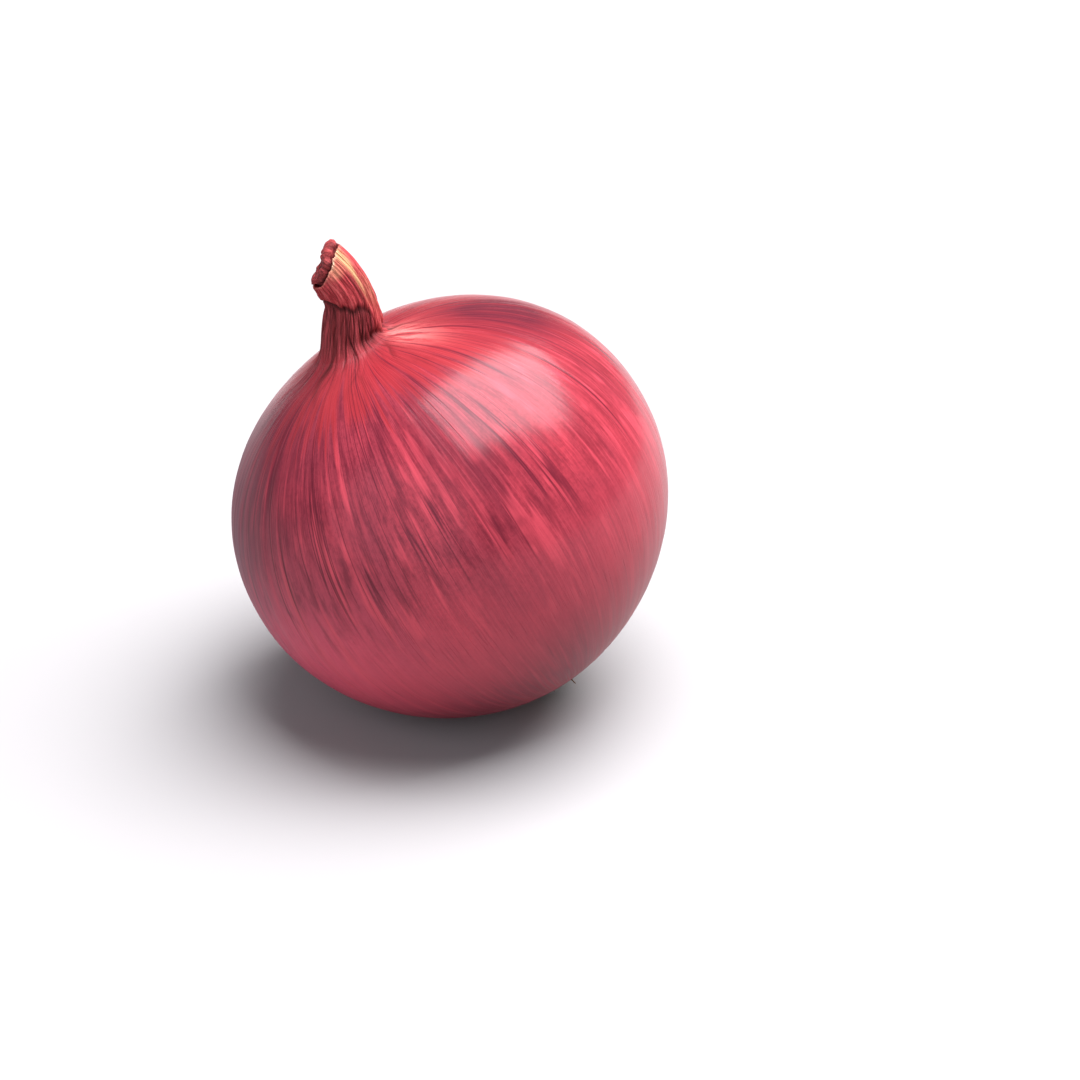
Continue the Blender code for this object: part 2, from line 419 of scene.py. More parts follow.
def flank_rows(height, fullness, inner_radius, shares):
    """Rows (radius, height) from the widest line, at share 0, to an inner radius, at share 1.

    Superellipse: radius = bulb radius x cos(angle)^(2 / n), at even steps of the angle.
    """
    last = math.acos((inner_radius / BULB_RADIUS) ** (fullness / 2))
    radius = BULB_RADIUS * np.cos(last * shares) ** (2 / fullness)
    return np.stack([radius, half_height(radius, height, fullness)], -1)


def bulb_rows():
    """Rows (radius, height) down the root dimple's slope and up the bulb to its shoulders."""
    t = np.linspace(0.04, 1.0, DIMPLE_ROWS)
    base = half_height(DIMPLE_RADIUS * t, BASE_DEPTH, BASE_FULLNESS)
    sunk = DIMPLE_DEPTH * (1 - ease(t, 0.55, 1.0))
    dimple = np.stack([DIMPLE_RADIUS * t, sunk - base], -1)
    up_base = 1 - np.arange(1, BASE_ROWS) / BASE_ROWS
    up_crown = np.arange(CROWN_ROWS) / CROWN_ROWS
    lower = flank_rows(BASE_DEPTH, BASE_FULLNESS, DIMPLE_RADIUS, up_base)
    upper = flank_rows(CROWN_HEIGHT, CROWN_FULLNESS, SHOULDER_RADIUS * MM, up_crown)
    return np.concatenate([dimple, lower * (1, -1), upper])


# ---------------------------------------------------------------- the skin

def torn_edge(turn):
    """How far up the neck path the sheath reaches: torn back in front, ragged all round."""
    ragged = 0.14 * folds(turn, np.zeros_like(turn), (9, 14, 23), 0.0, 11)
    front = 0.40 * around(turn, -95, 55) + 0.42 * around(turn, -130, 30)
    back = 0.20 * around(turn, 10, 32) + 0.25 * around(turn, 80, 40)
    return RIM - ragged - front - back


def pinch_line(turn):
    """Where up the neck the sheath is pinched: high on the short side, low on the long side."""
    high = 1.3 * around(turn, -150, 45) + 0.8 * around(turn, 140, 60)
    low = 3.6 * around(turn, -8, 26)
    return PINCH + high - low + 0.14 * waves(turn, 0 * turn, (5, 8, 13), 0.0, 21)


def neck_creases(turn, path, length):
    """Deep creases of the lower neck, 0 to about 1, which run out over the crown and fade."""
    along = length * 9
    lines = creases(turn, along, 17, 0.26, 0.5, 6)
    lines = np.maximum(lines, 0.9 * creases(turn, along, 11, 0.20, 0.7, 7))
    lines = np.maximum(lines, 0.6 * creases(turn, along * 1.4, 31, 0.34, 0.9, 8))
    below_pinch = 1 - 0.8 * ease(path, pinch_line(turn) - 0.1, pinch_line(turn) + 0.5)
    reach_out = ease(path, -1.3 - 1.5 * np.cos(9 * turn + 1.0), 3.0) ** 1.2
    return lines * below_pinch * reach_out


def pinch_crease(turn, path):
    """Relief in millimetres: a groove where the sheath bends, and the swelling above it."""
    side = np.clip(around(turn, -150, 75) + around(turn, 170, 60), 0, 1)
    line = pinch_line(turn)
    groove = -(0.22 + 0.20 * side) * bump(path, line, 0.26)
    swell = (0.10 + 0.04 * side) * bump(path, line + 0.8, 0.6)
    return groove + swell


def foot_groove(turn, path):
    """A ragged groove where the long side of the neck meets the crown, 0 to 1."""
    middle = 3.0 + 0.25 * waves(turn, 0 * turn, (7, 12, 19), 0.0, 23)
    side = np.clip(around(turn, -32, 34) + around(turn, 28, 40), 0, 1)
    return bump(path, middle, 0.40) * side


def skin_relief(turn, path, length):
    """Relief in metres: soft lobes, fine ribs, and folds that deepen towards the neck."""
    lobes = 0.14 * waves(turn, length * 1.5, (2, 3, 4), 0.5, 1)
    ribs = 0.020 * waves(turn, length * 2.0, (23, 31, 38, 47, 59), 1.0, 2)
    fine = 0.008 * waves(turn, length * 2.0, (71, 83, 97, 113), 1.5, 3)
    skin = (lobes + ribs + fine) * ease(-path, -2.0, 1.0)
    ridges = (folds(turn, length * 9, (15, 22), 0.7, 4) - 0.6) * 0.55
    upper = ease(path, 5.4, 6.6)
    hair = (folds(turn, length * 7, (37, 49), 0.7, 5) - 0.6) * (0.16 + 0.10 * upper)
    wrinkles = (ridges * (1 - 0.55 * upper) + hair) * ease(path, -1.5, 3.2)
    ruts = -0.52 * neck_creases(turn, path, length) - 0.55 * foot_groove(turn, path)
    puckers = folds(turn, length * 5, (21, 34), 0.5, 9) - 0.5
    dimple = (1 - ease(length, 0.16, 0.34)) * 0.16 * puckers
    return MM * (skin + wrinkles + ruts + dimple + pinch_crease(turn, path))


def spread(*runs):
    """Runs of rows, one after another, with every row spread over all the columns."""
    return np.concatenate([run + np.zeros((1, COLUMNS)) for run in runs])


def skin_grid():
    """The skin's points, and for each its turn, neck path, length up, latitude and wall side.

    Each row is an oval between the onion's long side and its short side, pushed out by the
    relief. The rows run up the bulb and the neck to the torn rim, over a half-round lip, and
    down inside the neck, where they narrow into a pocket. The path is below 0 on the bulb,
    and wall goes from 0 on the outside to 1 on the inside.
    """
    turn = np.linspace(0, 2 * math.pi, COLUMNS, endpoint=False)[None, :]
    bulb = bulb_rows()[:, None, :] + np.zeros((1, COLUMNS, 1))
    below = -BULB_PATH_STEP * np.arange(len(bulb), 0, -1)[:, None]
    up = np.linspace(0, 1, NECK_ROWS)[:, None]
    lip = np.linspace(0, 1, LIP_ROWS)[1:, None]
    down = np.linspace(0, 1, POCKET_ROWS)[1:, None]
    rim = torn_edge(turn)
    path = spread(below, up * rim, rim + 0 * lip, rim - down * (rim - POCKET_FLOOR))
    outside = np.concatenate([0 * below, 0 * up])
    wall = spread(outside, 0.5 - 0.5 * np.cos(math.pi * lip), 1 + 0 * down)
    over = spread(outside, 0.4 * np.sin(math.pi * lip), 0 * down)
    narrow = spread(outside, 0 * lip, 0.72 * down ** 2)
    long_side, short_side = neck_sides(path[len(bulb):])
    long_side = np.concatenate([bulb, long_side])
    short_side = np.concatenate([bulb * (-1, 1), short_side])
    step = np.linalg.norm(np.diff(long_side, axis=0), axis=-1)
    step += np.linalg.norm(np.diff(short_side, axis=0), axis=-1)
    length = np.concatenate([0 * turn, np.cumsum(step / 2, axis=0)]) / BULB_RADIUS
    angle = turn + 0 * path
    reach = skin_relief(angle, path, length) * (1 - 0.5 * narrow) - wall * SHEATH_THICKNESS
    half = np.linalg.norm(long_side - short_side, axis=-1) / 2
    reach = reach - narrow * (half + reach)
    flat = 1 - (1 - NECK_FLATNESS) * ease(path, 0.0, 4.0)
    points = section(long_side, short_side, angle, reach, flat)
    points[..., 2] += over * SHEATH_THICKNESS
    across = np.hypot(points[..., 0], points[..., 1])
    latitude = np.arctan2(points[..., 2], across) / (math.pi / 2)
    world = placed(points)
    world[..., 2] = np.maximum(world[..., 2], 0.0)
    return world, angle, path, length, latitude, wall


def patch(angle, latitude, turn, wide, level, tall):
    """A soft oval patch: bell curves in the turn in degrees and in the latitude from -1 to 1."""
    return around(angle, turn, wide) * bump(latitude, level, tall)


def bulb_marks(angle, latitude):
    """The latitude, and where the bulb's colours and painted sheen and shade lie, by name: soft
    patches from 0 up.
    """

    def spot(turn, wide, level, tall):
        """A patch on this onion's own angles and latitudes."""
        return patch(angle, latitude, turn, wide, level, tall)

    belt = around(angle, -105, 52) + 0.8 * around(angle, 40, 34) + 0.9 * around(angle, 130, 36)
    dark = 1.5 * spot(-162, 32, 0.46, 0.34) + 0.7 * spot(-66, 14, 0.40, 0.20)
    dark += 1.5 * spot(5, 17, 0.53, 0.17) + 0.6 * spot(100, 22, 0.35, 0.3)
    # Painted shade: the two low patches on this line darken the underside.
    dark += 0.80 * spot(-105, 70, -0.52, 0.24) + 0.5 * spot(60, 50, -0.5, 0.3)
    # Painted sheen: the mauve patches lighten the lower left and the sides as fill light would.
    mauve_sheen = spot(-148, 42, -0.16, 0.36) + 0.7 * spot(165, 35, 0.1, 0.5)
    mauve_sheen += 0.6 * spot(10, 60, -0.35, 0.35)
    dull = around(angle, 180, 58) * ease(latitude, 0.75, 0.35) + 0.5 * ease(latitude, 0.0, -0.5)
    return {
        "latitude": latitude,
        "belt": np.minimum(belt, 1) * ease(latitude, -0.25, 0.25),
        # Dark plum patches, with painted shade on the underside.
        "dark": dark,
        "mauve_sheen": mauve_sheen,
        # Painted sheen on the left limb.
        "violet_sheen": spot(178, 34, -0.02, 0.45),
        # Partly painted light on the right side: the crown's red, and a warmer tone for the light
        # there.
        "ruddy": around(angle, 8, 52),
        "dull": dull,
    }


def neck_marks(angle, path, length, wall):
    """Where the neck's and the root end's colours and painted shade lie, by name, from 0 up."""
    line = pinch_line(angle)
    rim = torn_edge(angle)
    outside = 1 - wall
    long_side = around(angle, -8, 34)
    below_pinch = ease(path, 1.2, 3.4) * (1 - ease(path, line - 0.15, line + 0.35))
    # Painted shade in grooves: along the pinch, in a slit of the sheath and in the foot groove.
    groove_shade = bump(path, line - 0.05, 0.24) * (1 - 0.7 * long_side)
    slit = around(angle, -51, 4.5) * ease(path, 5.2, 6.2) * (1 - ease(path, 8.2, 9.0))
    foot = foot_groove(angle, path) * (1 - 0.5 * around(angle, 0, 14))
    straw_middle = -38 + 9 * ease(path, 7.4, 9.6)
    straw_width = 4.5 + 9.0 * ease(path, 7.8, 9.7)
    peach = around(angle, -68, 17) * ease(path, 8.4, 9.3)
    peach += 0.35 * around(angle, 60, 40) * ease(path, 8.0, 9.5)
    peach += 0.55 * around(angle, -14, 17) * bump(path, 6.4, 1.3)
    torn = ease(path, rim - 0.10, rim - 0.02) * (0.15 + 0.85 * around(angle, -52, 28))
    pale = 1.2 * around(angle, -9, 15) * bump(path, 1.8, 1.2)
    pale += around(angle, -24, 10) * bump(path, 0.5, 1.0)
    return {
        "neck_dark": below_pinch * (1 - 0.8 * long_side) * outside,
        # Painted shade in the lower neck's creases.
        "sheath": ease(path, line - 0.1, line + 0.45),
        "crease": neck_creases(angle, path, length),
        # Painted shade in the pinch groove, the slit and the foot groove.
        "groove_shade": np.maximum(np.maximum(groove_shade, 0.8 * slit), 0.75 * foot),
        "straw": around(angle, straw_middle, straw_width) * ease(path, 5.0, 8.4) * outside,
        "peach": np.minimum(peach, 1) * outside,
        "torn": torn * (1 - 0.7 * wall),
        "pale": pale,
        # Painted shade on the sheath's inner wall.
        "inside": wall,
        "rootward": 1 - ease(length, 0.12, 0.34),
        "matte": ease(path, -0.5, 2.6),
    }


# ---------------------------------------------------------------- leaf ends and roots

def mouth_points(out, turn, along):
    """Points over the mouth: its oval times out at a turn, moved along the neck's last run."""
    long_side, short_side = neck_sides(np.array(RIM))
    centre, half = (long_side + short_side) / 2, (long_side - short_side) / 2
    x = centre[0] + half[0] * out * np.cos(turn) + STUB_ASIDE * along
    y = NECK_FLATNESS * np.linalg.norm(half) * out * np.sin(turn)
    z = centre[1] + half[1] * out * np.cos(turn) + STUB_UP * along
    return np.stack([x, y, z], -1)


def leaf_ends_grid():
    """Withered leaf ends, crumpled into a plug: walls up inside the neck, then a closed top.

    The top's height over the mouth is a sum of bell curves, one for each lump, and every
    point is then pushed outwards by ripples about two millimetres long. Gives the points,
    and for each its turn, its level from 0 inside the neck to 1, lowered in the crumple's
    hollows as painted shade, and its place across.
    """
    turn = np.linspace(0, 2 * math.pi, STUB_COLUMNS, endpoint=False)[None, :]
    up = ease(np.linspace(0, 1, PLUG_WALL_ROWS), -0.2, 1.0)[:, None]
    inner = np.cos(np.linspace(0.02, 0.98, PLUG_TOP_ROWS)[:, None] * math.pi / 2)
    level = np.concatenate([up, 1 + 0 * inner])
    share = np.concatenate([1 + 0 * up, inner])
    wander = 1 + 0.045 * waves(turn, level, (3, 5, 8), 0.8, 62)
    rim = 1 - (MOUTH - torn_edge(turn)) * (2.4 + 1.6 * np.cos(turn)) * MM / STUB_DEPTH
    flare = 0.10 + 0.16 * around(turn, -12, 58) + 0.14 * around(turn, 176, 40)
    out = PLUG_SHARE * share * (wander + flare * ease(level, rim, rim + 0.12))
    across, side = out * np.cos(turn), out * np.sin(turn)
    lumps = 1.30 * bump(across, 0.64, 0.50) * bump(side, -0.05, 0.95)
    lumps += 0.50 * bump(across, -0.10, 0.22) * bump(side, -0.35, 0.55)
    lumps += 0.80 * bump(across, -0.74, 0.30) * bump(side, -0.15, 0.75)
    rise = (0.12 + lumps) * (1 - 0.26 * share ** 10) * MM
    points = mouth_points(out, turn, (level - 1) * STUB_DEPTH + rise * level ** 3)
    crumple = 0.20 * ripple(points, 2.2 * MM, 63)
    crumple += 0.11 * (np.abs(ripple(points, 1.5 * MM, 64)) - 0.6)
    crumple *= ease(level, rim, rim + 0.25)
    tilt = 0.4 * (1 - share)
    outward = (share * np.cos(turn) - tilt, share * np.sin(turn), 0.5 + tilt + 0 * turn)
    points = points + np.stack(outward, -1) * (crumple * MM)[..., None]
    # Painted shade: a lower level in the crumple's hollows, which the leaf material darkens.
    hollow_shade = 0.5 * ease(-crumple, 0.02, 0.30)
    return placed(points), turn + 0 * level, level - hollow_shade, across


def stub_grid():
    """A dried leaf's stub: a crumpled cup, up its outside, over a curled lip and down inside.

    Its outline is the neck's oval times a share, and every point is then pushed outwards
    by ripples one and two millimetres long. Gives what leaf_ends_grid does.
    """
    turn = np.linspace(0, 2 * math.pi, STUB_COLUMNS, endpoint=False)[None, :]
    up = ease(np.linspace(0, 1, STUB_WALL_ROWS), -0.2, 1.0)[:, None]
    lip = np.linspace(0, math.pi, STUB_LIP_ROWS + 2)[1:-1, None]
    down = np.linspace(1, 0.25, STUB_INSIDE_ROWS)[:, None]
    # The level falls down the stub's inside, where the leaf material paints shade.
    level = np.concatenate([up, 1 + 0 * lip, down])
    bead = np.concatenate([0 * up, np.sin(lip), 0 * down])
    inward = np.concatenate([0 * up, 0.5 - 0.5 * np.cos(lip), 1 + 0 * down])
    rise = STUB_RISE + 0.16 * waves(turn, 0 * turn, (3, 5, 9), 0.0, STUB_SEED) * MM
    rise = rise + 0.7 * ease(STUB_SHARE * np.cos(turn), 0.10, 0.45) * MM
    wander = 1 + 0.05 * waves(turn, level, (3, 5, 8), 0.8, STUB_SEED + 2)
    wall = inward * (1 + 1.1 * ease(level, 0.6, 1.0)) * STUB_WALL_SHARE
    out = STUB_SHARE * wander - wall
    along = (level - 1) * STUB_DEPTH + rise * level ** 3 + bead * 0.28 * MM
    points = mouth_points(out, turn, along)
    crumple = 0.16 * ripple(points, 2.4 * MM, STUB_SEED + 3)
    crumple += 0.05 * ripple(points, 1.1 * MM, STUB_SEED + 4)
    outward = np.stack([np.cos(turn) + 0 * out, np.sin(turn) + 0 * out, 0.6 + 0 * out], -1)
    points = points + outward * (crumple * ease(level, 0.70, 0.98) * MM)[..., None]
    return placed(points), turn + 0 * level, level + 0 * turn, out * np.cos(turn)


def plate_height():
    """The height of the root plate's back in the bulb's own frame."""
    return PLATE_SUNK - float(half_height(0.0, BASE_DEPTH, BASE_FULLNESS))


def root_rings(curves, radii):
    """Rings of points at radius x (cos, sin) across each root's curve, from foot to tip."""
    ahead = np.gradient(curves, axis=1)
    ahead /= np.linalg.norm(ahead, axis=-1, keepdims=True)
    aside = np.cross(ahead, np.array([0.31, 0.94, 0.12]))
    aside /= np.linalg.norm(aside, axis=-1, keepdims=True)
    third = np.cross(ahead, aside)
    spin = np.linspace(0, 2 * math.pi, ROOT_SIDES, endpoint=False)[:, None]
    ring = np.cos(spin) * aside[:, :, None, :] + np.sin(spin) * third[:, :, None, :]
    return curves[:, :, None, :] + ring * radii[:, :, None, None]


def root_curves():
    """Each trimmed root: from the plate, point = foot + size x (way x t + curl x t^2).

    Feet stand in a sunflower's spiral, and a tip near the floor is lifted clear of it.
    """
    rng = np.random.default_rng(41)
    number = np.arange(ROOT_COUNT)
    turn = number * ROOT_TURN + rng.normal(0, 0.25, ROOT_COUNT)
    share = np.sqrt((number + 0.5) / ROOT_COUNT)
    outward = np.stack([np.cos(turn), np.sin(turn), 0 * turn], -1)
    foot = outward * (PLATE_RADIUS * 0.93 * share)[:, None]
    foot[:, 2] = plate_height() + 0.1 * MM
    splay = (0.15 + 0.75 * share)[:, None]
    way = outward * splay + rng.normal(0, 0.22, (ROOT_COUNT, 3)) - np.array([0, 0, 1.0])
    way /= np.linalg.norm(way, axis=-1, keepdims=True)
    curl = rng.normal(0, 0.38, (ROOT_COUNT, 3)) + outward * 0.2
    size = rng.uniform(1.6, 3.7, ROOT_COUNT) * (1.0 - 0.42 * share) * MM
    t = np.linspace(0, 1, ROOT_RINGS)[None, :, None]
    curves = foot[:, None] + size[:, None, None] * (way[:, None] * t + curl[:, None] * t ** 2)
    world = placed(curves)
    height = world[..., 2]
    lifted = ROOT_CLEARANCE + height.clip(0) / 2
    world[..., 2] = np.where(height < 2 * ROOT_CLEARANCE, lifted, height)
    radii = rng.uniform(0.17, 0.30, (ROOT_COUNT, 1)) * MM * (1 - 0.62 * t[..., 0] ** 1.3)
    return world, radii


def plate_grid():
    """The root plate: a closed corky disc, its face ringed by ripples, its back flat."""
    turn = np.linspace(0, 2 * math.pi, PLATE_COLUMNS, endpoint=False)[None, :]
    back = np.linspace(0.03, 1, PLATE_BACK_ROWS)
    front = np.linspace(1, 0.03, PLATE_FACE_ROWS)
    share = np.concatenate([back, front])[:, None]
    face = np.concatenate([0 * back, 1 + 0 * front])[:, None]
    radius = PLATE_RADIUS * share * (1 + 0.05 * waves(turn, 0 * turn, (5, 9, 14), 0.0, 51))
    rings = 0.12 * np.sin(share * 26 + 2 * waves(turn, share * 2, (3, 5), 0.6, 52))
    grain = 0.10 * waves(turn, share * 6, (11, 17, 23), 1.5, 53)
    drop = face * (0.25 + 0.55 * (1 - share ** 2) + rings + grain)
    z = plate_height() + (0.25 - drop) * MM
    return placed(np.stack([radius * np.cos(turn), radius * np.sin(turn), z], -1))


# ---------------------------------------------------------------- materials

class Nodes:
    """A material's node tree, with a short call for each kind of node it uses."""

    def __init__(self, name):
        self.material = bpy.data.materials.new(name)
        self.material.use_nodes = True
        self.tree = self.material.node_tree
        self.shader = self.tree.nodes["Principled BSDF"]

    def feed(self, socket, value):
        """Links a node's output to the socket, or sets the socket's own value."""
        if isinstance(value, bpy.types.NodeSocket):
            self.tree.links.new(value, socket)
        else:
            socket.default_value = value

    def add(self, kind, **inputs):
        """A new node of a kind, with its inputs fed by name."""
        node = self.tree.nodes.new(kind)
        for key, value in inputs.items():
            self.feed(node.inputs[key.replace("_", " ")], value)
        return node

    def attribute(self, name, output="Fac"):
        """A mark stored on the mesh, as a number, or as a vector if the output says so."""
        node = self.add("ShaderNodeAttribute")
        node.attribute_name = name
        return node.outputs[output]

    def objects(self):
        """Object coordinates, which are the world's, because every object is at the origin."""
        return self.add("ShaderNodeTexCoord").outputs["Object"]

    def distance(self):
        """How far a point is from the origin."""
        node = self.add("ShaderNodeVectorMath", Vector=self.objects())
        node.operation = "LENGTH"
        return node.outputs["Value"]

    def squeezed(self, vector, along):
        """The vector with its last part, the way along the onion, made smaller."""
        return self.add("ShaderNodeMapping", Vector=vector, Scale=(1, 1, along)).outputs["Vector"]

    def noise(self, vector, scale, detail=2.0, roughness=0.5, distortion=0.0):
        """A noise pattern, about 0 to 1 and mostly near 0.5."""
        node = self.add("ShaderNodeTexNoise", Vector=vector, Scale=scale, Detail=detail,
                        Roughness=roughness, Distortion=distortion)
        return node.outputs["Fac"]

    def math(self, operation, first, second=0.0):
        """An operation on two numbers, by its name."""
        node = self.add("ShaderNodeMath")
        node.operation = operation
        self.feed(node.inputs[0], first)
        self.feed(node.inputs[1], second)
        return node.outputs[0]

    def times(self, first, second):
        """The two multiplied."""
        return self.math("MULTIPLY", first, second)

    def plus(self, first, second):
        """The two added."""
        return self.math("ADD", first, second)

    def span(self, value, low, high, to_low=0.0, to_high=1.0):
        """Smooth step from to_low, where the value is low, to to_high, where it is high."""
        node = self.add("ShaderNodeMapRange", From_Min=low, From_Max=high,
                        To_Min=to_low, To_Max=to_high, Value=value)
        node.interpolation_type = "SMOOTHSTEP"
        return node.outputs["Result"]

    def mix(self, factor, first, second):
        """The first colour at factor 0, the second at 1."""
        node = self.add("ShaderNodeMix")
        node.data_type = "RGBA"
        self.feed(node.inputs[0], factor)
        for socket, colour in ((node.inputs[6], first), (node.inputs[7], second)):
            linked = isinstance(colour, bpy.types.NodeSocket)
            self.feed(socket, colour if linked else (*colour, 1.0))
        return node.outputs[2]

    def painted(self, colour, *layers):
        """A colour with layers over it, in order: each is its cover, 0 to 1, and its colour."""
        for cover, tone in layers:
            colour = self.mix(cover, colour, tone)
        return colour

    def line(self, value, width):
        """1 where a pattern crosses its middle value, falling to 0 a width away."""
        off = self.math("ABSOLUTE", self.math("SUBTRACT", value, 0.5))
        return self.span(off, 0.0, width, 1.0, 0.0)

    def bump(self, height, strength, distance, normal=None):
        """A normal tilted by a height pattern, over another normal if one is given."""
        node = self.add("ShaderNodeBump", Strength=strength, Distance=distance, Height=height)
        if normal is not None:
            self.feed(node.inputs["Normal"], normal)
        return node.outputs["Normal"]

    def finish(self, colour, roughness, specular, normal=None):
        """Feeds the shader and gives the finished material."""
        self.feed(self.shader.inputs["Base Color"], colour)
        self.feed(self.shader.inputs["Roughness"], roughness)
        self.shader.inputs["Specular IOR Level"].default_value = specular
        if normal is not None:
            self.feed(self.shader.inputs["Normal"], normal)
        return self.material


def skin_patterns(n):
    """The skin's noise patterns by name, each on the flow, so it runs along the onion."""
    flow = n.attribute("flow", "Vector")
    return SimpleNamespace(**{
        name: n.noise(n.squeezed(flow, along), *settings)
        for name, (along, *settings) in SKIN_PATTERNS.items()
    })


def vein_lines(n, p):
    """Thin veins of the upper half, which come and go."""
    strength = n.span(p.near, 0.32, 0.50, 0.10, 0.90)
    upper = n.span(n.attribute("latitude"), -0.10, 0.20)
    return n.times(n.times(n.line(p.vein, 0.030), strength), upper)


def crown_cover(n, p):
    """The crown: 1 above a latitude, with an edge that the streaks and threads make ragged."""
    ragged = n.plus(n.attribute("latitude"), n.span(p.streak, 0.25, 0.75, -0.13, 0.13))
    ragged = n.plus(ragged, n.span(p.thread, 0.3, 0.7, -0.06, 0.06))
    # The crown reaches lower on the right side; this is partly painted warmer light there.
    ragged = n.plus(ragged, n.times(n.attribute("ruddy"), 0.26))
    return n.times(n.span(ragged, 0.56, 0.72), n.span(p.streak, 0.30, 0.50, 0.86, 1.0))


def bulb_colour(n, p, veins):
    """The bulb's reds: plum and crimson in wide bands, under patches, streaks and veins, and under
    painted sheen, bounce light and shade.
    """
    latitude = n.attribute("latitude")
    belt = n.times(n.attribute("belt"), n.span(p.wide, 0.75, 0.30, 0.45, 1.0))
    blotch = n.span(p.blotch, 0.36, 0.56, 0.62, 0.0)
    # Painted bounce light: the lower half is made lighter.
    bounce_lit_half = n.span(latitude, 0.14, -0.25, 0.0, 0.72)
    lit = n.times(n.span(p.streak, 0.51, 0.64), n.span(latitude, -0.40, 0.25, 0.15, 0.78))
    return n.painted(
        n.mix(n.span(p.wide, 0.35, 0.65), PLUM, CRIMSON),
        (belt, PLUM),
        (n.span(p.mottle, 0.42, 0.66, 0.0, 0.34), DEEP_PLUM),
        # Painted sheen: lighter mauve on the lower left and the sides.
        (n.times(n.attribute("mauve_sheen"), 0.92), MAUVE),
        (n.times(blotch, n.span(latitude, -0.12, 0.20, 0.20, 1.0)), DEEP_PLUM),
        (n.span(p.thread, 0.28, 0.50, 0.10, 0.0), DEEP_PLUM),
        # Painted bounce light on the lower half.
        (n.times(bounce_lit_half, n.span(p.wide, 0.25, 0.6, 0.6, 1.0)), BOUNCE_LIT_ROSE),
        # Partly painted light: darker red on the lit right side.
        (n.times(n.attribute("ruddy"), 0.55), RUDDY),
        (n.times(lit, n.span(p.broken, 0.34, 0.54, 0.15, 1.0)), ROSE),
        (n.span(p.thread, 0.50, 0.74, 0.0, 0.30), ROSE),
        (crown_cover(n, p), CROWN_RED),
        # Dark plum patches, and painted shade on the underside.
        (n.times(n.attribute("dark"), n.span(p.thread, 0.66, 0.44, 0.62, 1.0)), DEEP_PLUM),
        # Painted sheen: violet on the left limb.
        (n.times(n.attribute("violet_sheen"), n.span(p.thread, 0.3, 0.7, 0.80, 0.50)), VIOLET),
        (n.times(n.attribute("pale"), n.span(p.hair, 0.38, 0.52, 0.15, 1.0)), PINK),
        (n.span(p.fibre, 0.45, 0.80, 0.0, 0.20), ROSE),
        (n.span(p.fibre, 0.20, 0.50, 0.36, 0.0), DEEP_PLUM),
        (veins, DEEP_PLUM),
    )


def neck_colour(n, p, colour):
    """The neck's and the root end's tones and painted shade, laid over the bulb's colour."""
    low_neck = n.mix(n.span(p.hair, 0.42, 0.62), NECK_BROWN, NECK_RED)
    sheath = n.painted(
        n.mix(n.span(p.hair, 0.40, 0.56), SHEATH_DARK, SHEATH_RED),
        (n.span(p.grain, 0.50, 0.70, 0.0, 0.40), PINK),
        (n.span(p.speck, 0.36, 0.52, 0.42, 0.0), SHEATH_DARK),
    )
    torn = n.mix(n.span(p.speck, 0.4, 0.6), PEACH, TORN_BUFF)
    return n.painted(
        colour,
        (n.times(n.attribute("neck_dark"), n.span(p.grain, 0.30, 0.62, 1.0, 0.82)), low_neck),
        (n.attribute("sheath"), sheath),
        # Painted shade: the lower neck's creases darkened to near black.
        (n.attribute("crease"), NECK_GROOVE_SHADE),
        # Painted shade: the pinch groove, the slit and the foot groove darkened.
        (n.times(n.attribute("groove_shade"), 0.8), NECK_GROOVE_SHADE),
        (n.times(n.attribute("peach"), n.span(p.speck, 0.34, 0.50, 0.25, 0.9)), PEACH),
        (n.times(n.attribute("straw"), n.span(p.hair, 0.34, 0.54, 0.35, 1.0)), STRAW),
        (n.attribute("torn"), torn),
        # Painted shade: the inside of the mouth darkened.
        (n.times(n.attribute("inside"), 0.75), SHEATH_DARK),
        (n.times(n.attribute("rootward"), n.span(p.thread, 0.30, 0.62, 0.30, 0.85)), DIMPLE_BROWN),
    )


def skin_material(name, shine):
    """Papery skin, rougher on the neck, the root end and the dull left and lower skin."""
    n = Nodes(name)
    p = skin_patterns(n)
    veins = vein_lines(n, p)
    colour = neck_colour(n, p, bulb_colour(n, p, veins))
    matte = n.math("MAXIMUM", n.attribute("matte"), n.attribute("rootward"))
    rough = n.plus(n.span(p.fibre, 0.3, 0.7, 0.20, 0.28), n.times(matte, 0.36))
    rough = n.plus(rough, n.times(n.attribute("dull"), 0.30))
    raised = n.math("SUBTRACT", n.times(p.fibre, 0.35), n.times(veins, 0.6))
    raised = n.plus(raised, n.times(p.thread, 0.5))
    coarse = n.times(n.plus(p.hair, n.times(p.speck, 0.4)), n.attribute("matte"))
    normal = n.bump(raised, 0.11, FINE_RELIEF)
    return n.finish(colour, rough, shine, n.bump(coarse, 0.5, COARSE_RELIEF, normal))


def leaf_material():
    """Dried leaf ends: dark red and brown, with painted shade in the hollows and deep in the neck.
    """
    n = Nodes("dried_leaf")
    flow = n.attribute("flow", "Vector")
    lines = n.noise(n.squeezed(flow, 0.3), 9.0, 3.0, 0.6, 0.3)
    lumps = n.noise(n.objects(), 900.0, 3.0, 0.6)
    colour = n.painted(
        n.mix(n.span(lines, 0.36, 0.64), LEAF_BROWN, LEAF_RED),
        (n.span(lumps, 0.42, 0.68, 0.0, 0.75), LEAF_HOLLOW),
        (n.times(n.attribute("tip"), n.span(lines, 0.40, 0.60, 0.25, 0.9)), LEAF_TIP),
        # Painted shade: near black deep in the neck and in the hollows.
        (n.span(n.attribute("level"), 0.45, 0.95, 0.85, 0.0), LEAF_DEPTH_SHADE),
    )
    return n.finish(colour, 0.70, 0.15, n.bump(n.plus(lines, lumps), 0.6, COARSE_RELIEF))


